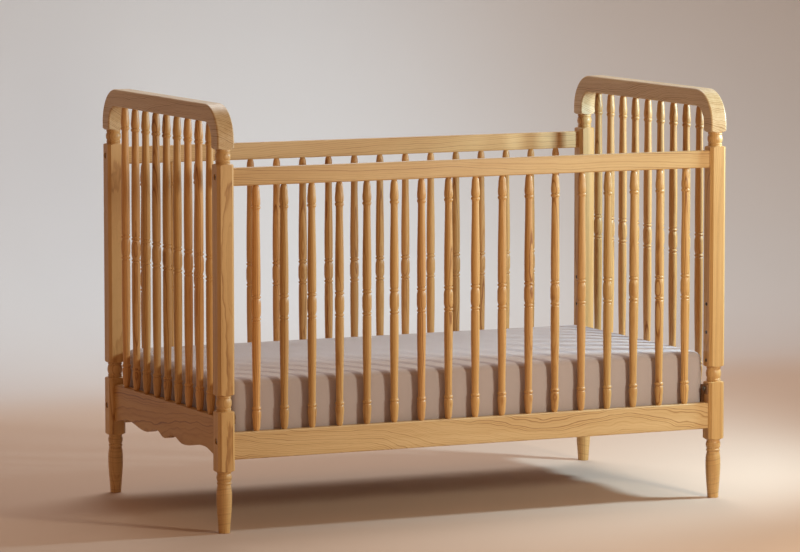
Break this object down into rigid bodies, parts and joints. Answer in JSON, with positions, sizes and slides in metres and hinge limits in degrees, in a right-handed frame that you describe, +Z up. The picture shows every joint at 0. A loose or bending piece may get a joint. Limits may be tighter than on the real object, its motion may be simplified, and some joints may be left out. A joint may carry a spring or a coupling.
{
  "type": "baby crib",
  "caption": "Full-size wooden baby crib with turned posts and spindles, arched end rails, scalloped end aprons, a height-adjustable mattress support and a lift-out mattress.",
  "frame": {"origin": "middle of the footprint, on the floor", "axes": "+X along the length, -Y the front, +Z up"},
  "size_m": [1.399, 0.774, 1.046],
  "materials": {
    "oak_post": "satin lacquer, fine straight grain",
    "oak_arch": "satin lacquer, grain along each leg and across the top",
    "oak_rail": "satin lacquer, flat-sawn grain",
    "oak_spindle": "satin lacquer, straight grain",
    "dowel_beech": "bare",
    "bolt_steel": "zinc plated",
    "insert_steel": "dark zinc",
    "support_paint": "satin powder coat",
    "mattress_cloth": "soft cotton"
  },
  "bodies": {
    "crib_frame": {"post_front_left": "oak_post", "post_front_right": "oak_post", "post_back_left": "oak_post", "post_back_right": "oak_post", "arched_rail_left": "oak_arch", "arched_rail_right": "oak_arch", "end_rail_left": "oak_rail", "end_rail_right": "oak_rail", "spindles_left": "oak_spindle", "spindles_right": "oak_spindle", "top_rail_front": "oak_rail", "bottom_rail_front": "oak_rail", "top_rail_back": "oak_rail", "bottom_rail_back": "oak_rail", "spindle_front_01": "oak_spindle", "spindle_front_02": "oak_spindle", "spindle_front_03": "oak_spindle", "spindle_front_04": "oak_spindle", "spindle_front_05": "oak_spindle", "spindle_front_06": "oak_spindle", "spindle_front_07": "oak_spindle", "spindle_front_08": "oak_spindle", "spindle_front_09": "oak_spindle", "spindle_front_10": "oak_spindle", "spindle_front_11": "oak_spindle", "spindle_front_12": "oak_spindle", "spindle_front_13": "oak_spindle", "spindle_front_14": "oak_spindle", "spindle_front_15": "oak_spindle", "spindle_front_16": "oak_spindle", "spindle_front_17": "oak_spindle", "spindle_back_01": "oak_spindle", "spindle_back_02": "oak_spindle", "spindle_back_03": "oak_spindle", "spindle_back_04": "oak_spindle", "spindle_back_05": "oak_spindle", "spindle_back_06": "oak_spindle", "spindle_back_07": "oak_spindle", "spindle_back_08": "oak_spindle", "spindle_back_09": "oak_spindle", "spindle_back_10": "oak_spindle", "spindle_back_11": "oak_spindle", "spindle_back_12": "oak_spindle", "spindle_back_13": "oak_spindle", "spindle_back_14": "oak_spindle", "spindle_back_15": "oak_spindle", "spindle_back_16": "oak_spindle", "spindle_back_17": "oak_spindle", "connector_bolts": "bolt_steel", "barrel_nuts": "bolt_steel", "rail_dowels": "dowel_beech", "support_inserts": "insert_steel", "support_bolts": "bolt_steel"},
    "mattress_support": {"support_side_tubes": "support_paint", "support_end_tubes": "support_paint", "support_slats": "support_paint", "support_brackets": "support_paint"},
    "mattress": {"mattress": "mattress_cloth"}
  },
  "joints": [
    {"name": "support_height", "type": "slide", "parent": "crib_frame", "child": "mattress_support", "axis": [0, 0, 1], "range_m": [0, 0.2169]},
    {"name": "mattress_lift", "type": "slide", "parent": "mattress_support", "child": "mattress", "axis": [0, 0, 1], "range_m": [0, 0.83]}
  ]
}
